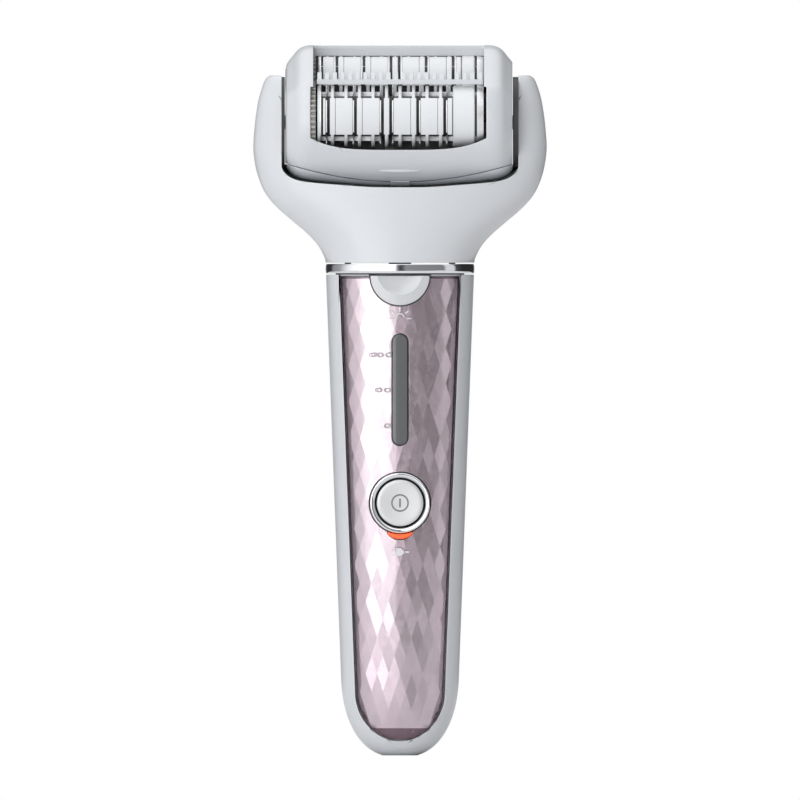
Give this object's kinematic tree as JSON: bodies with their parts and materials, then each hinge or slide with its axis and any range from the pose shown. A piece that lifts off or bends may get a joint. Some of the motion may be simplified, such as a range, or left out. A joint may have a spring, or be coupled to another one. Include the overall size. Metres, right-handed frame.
{
  "type": "epilator",
  "caption": "Cordless handheld epilator: slim tapered handle with a faceted pink panel and power button, flared yoke and a swinging wide head with twin tweezer drums.",
  "frame": {"origin": "on the handle's axis at the flat end of its base, where a hand or a stand takes hold", "axes": "+Z along the handle to the head; the panel and power button face -Y; +X to the right as seen from the front"},
  "size_m": [0.074, 0.0329, 0.1799],
  "materials": {
    "white_shell": "satin moulded ABS",
    "pink_foil": "metallised pink foil with pressed facets",
    "clear_cover": "clear polished acrylic",
    "bright_trim": "bright plated trim",
    "silver_button": "fine satin silver paint",
    "orange_light": "lit translucent orange",
    "smoke_lens": "smoke-grey translucent plastic",
    "pale_lens": "pale translucent plastic",
    "circuit_board": "green solder mask",
    "battery_sleeve": "plain shrink sleeve",
    "steel": "plain steel",
    "tweezer_steel": "polished stainless steel",
    "drum_plastic": "grey glass-filled plastic",
    "gear_nylon": "natural nylon",
    "black_plastic": "black plastic",
    "inner_plastic": "grey plastic",
    "seal_rubber": "black rubber",
    "contact_brass": "plated brass"
  },
  "bodies": {
    "handle": {"front_shell": "white_shell", "rear_shell": "white_shell", "decor_panel": "pink_foil", "panel_cover": "clear_cover", "neck_ring": "bright_trim", "light_lens": "pale_lens", "light_led": "pale_lens", "speed_window": "smoke_lens", "speed_light_bar": "pale_lens", "button_bezel": "bright_trim", "charge_lens": "orange_light", "button_seal": "seal_rubber", "tact_switch": "black_plastic", "circuit_board": "circuit_board", "battery_cell": "battery_sleeve", "battery_tab_top": "steel", "battery_tab_bottom": "steel", "chassis": "inner_plastic", "motor_can": "steel", "motor_end_cap": "black_plastic", "inlet_socket": "black_plastic", "inlet_pin_left": "contact_brass", "inlet_pin_right": "contact_brass", "inlet_seal": "seal_rubber", "neck_plate": "inner_plastic", "neck_seal": "seal_rubber", "neck_screw_left": "steel", "neck_screw_right": "steel"},
    "power_button": {"power_button": "silver_button"},
    "release_button": {"release_button": "white_shell", "release_spring": "steel"},
    "motor_rotor": {"motor_shaft": "steel", "drive_dog": "gear_nylon"},
    "head_unit": {"yoke_front_shell": "white_shell", "yoke_rear_shell": "white_shell", "yoke_base": "inner_plastic", "pivot_pin_left": "steel", "pivot_pin_right": "steel", "pivot_washer_left": "black_plastic", "pivot_washer_right": "black_plastic", "swing_spring": "steel"},
    "input_shaft": {"input_shaft": "gear_nylon"},
    "head": {"head_base": "white_shell", "skin_frame": "white_shell", "comb_bar": "white_shell", "bearing_plate_left": "inner_plastic", "bearing_plate_right": "inner_plastic"},
    "drive_shaft": {"drive_shaft": "gear_nylon"},
    "front_drum": {"front_drum_core": "drum_plastic", "front_drum_gear": "gear_nylon"},
    "front_tweezers_left": {"front_tweezers_left": "tweezer_steel"},
    "front_tweezers_right": {"front_tweezers_right": "tweezer_steel"},
    "rear_drum": {"rear_drum_core": "drum_plastic", "rear_drum_gear": "gear_nylon"},
    "rear_tweezers_left": {"rear_tweezers_left": "tweezer_steel"},
    "rear_tweezers_right": {"rear_tweezers_right": "tweezer_steel"}
  },
  "joints": [
    {"name": "power_button_press", "type": "slide", "parent": "handle", "child": "power_button", "axis": [0, 1, 0], "range_m": [0, 0.0006], "stiffness_N_per_m": 1500, "springref_m": -0.0004},
    {"name": "release_press", "type": "slide", "parent": "handle", "child": "release_button", "axis": [0, -1, 0], "range_m": [0, 0.001], "stiffness_N_per_m": 1200, "springref_m": -0.0005, "deforming": ["release_spring"]},
    {"name": "head_unit_lift_off", "type": "slide", "parent": "handle", "child": "head_unit", "axis": [0, 0, 1], "range_m": [0, 0.03]},
    {"name": "head_swing", "type": "hinge", "parent": "head_unit", "child": "head", "pos_m": [0, 0, 0.1605], "axis": [1, 0, 0], "range_deg": [-14, 14], "stiffness_Nm_per_rad": 0.12},
    {"name": "front_drum_spin", "type": "hinge", "parent": "head", "child": "front_drum", "pos_m": [0, -0.0079, 0.162], "axis": [1, 0, 0], "continuous": true},
    {"name": "rear_drum_spin", "type": "hinge", "parent": "head", "child": "rear_drum", "pos_m": [0, 0.00674, 0.1694], "axis": [1, 0, 0], "continuous": true},
    {"name": "drive_shaft_spin", "type": "hinge", "parent": "head", "child": "drive_shaft", "pos_m": [0, -0.00298, 0.1524], "axis": [1, 0, 0], "continuous": true},
    {"name": "input_shaft_spin", "type": "hinge", "parent": "head_unit", "child": "input_shaft", "pos_m": [0, 0, 0.1249], "axis": [0, 0, 1], "continuous": true},
    {"name": "motor_spin", "type": "hinge", "parent": "handle", "child": "motor_rotor", "pos_m": [0, 0, 0.112], "axis": [0, 0, 1], "continuous": true},
    {"name": "front_pinch_left", "type": "slide", "parent": "front_drum", "child": "front_tweezers_left", "axis": [1, 0, 0], "range_m": [0, 0.00035], "stiffness_N_per_m": 400, "springref_m": -0.0002},
    {"name": "front_pinch_right", "type": "slide", "parent": "front_drum", "child": "front_tweezers_right", "axis": [-1, 0, 0], "range_m": [0, 0.00035]},
    {"name": "rear_pinch_left", "type": "slide", "parent": "rear_drum", "child": "rear_tweezers_left", "axis": [1, 0, 0], "range_m": [0, 0.00035], "stiffness_N_per_m": 400, "springref_m": -0.0002},
    {"name": "rear_pinch_right", "type": "slide", "parent": "rear_drum", "child": "rear_tweezers_right", "axis": [-1, 0, 0], "range_m": [0, 0.00035]}
  ],
  "couplings": [
    {"joint": "rear_drum_spin", "follows": "front_drum_spin", "ratio": -1},
    {"joint": "drive_shaft_spin", "follows": "front_drum_spin", "ratio": -3.1667},
    {"joint": "input_shaft_spin", "follows": "front_drum_spin", "ratio": 5.0667},
    {"joint": "motor_spin", "follows": "front_drum_spin", "ratio": 5.0667},
    {"joint": "front_pinch_right", "follows": "front_pinch_left", "ratio": 1},
    {"joint": "rear_pinch_right", "follows": "rear_pinch_left", "ratio": 1}
  ]
}
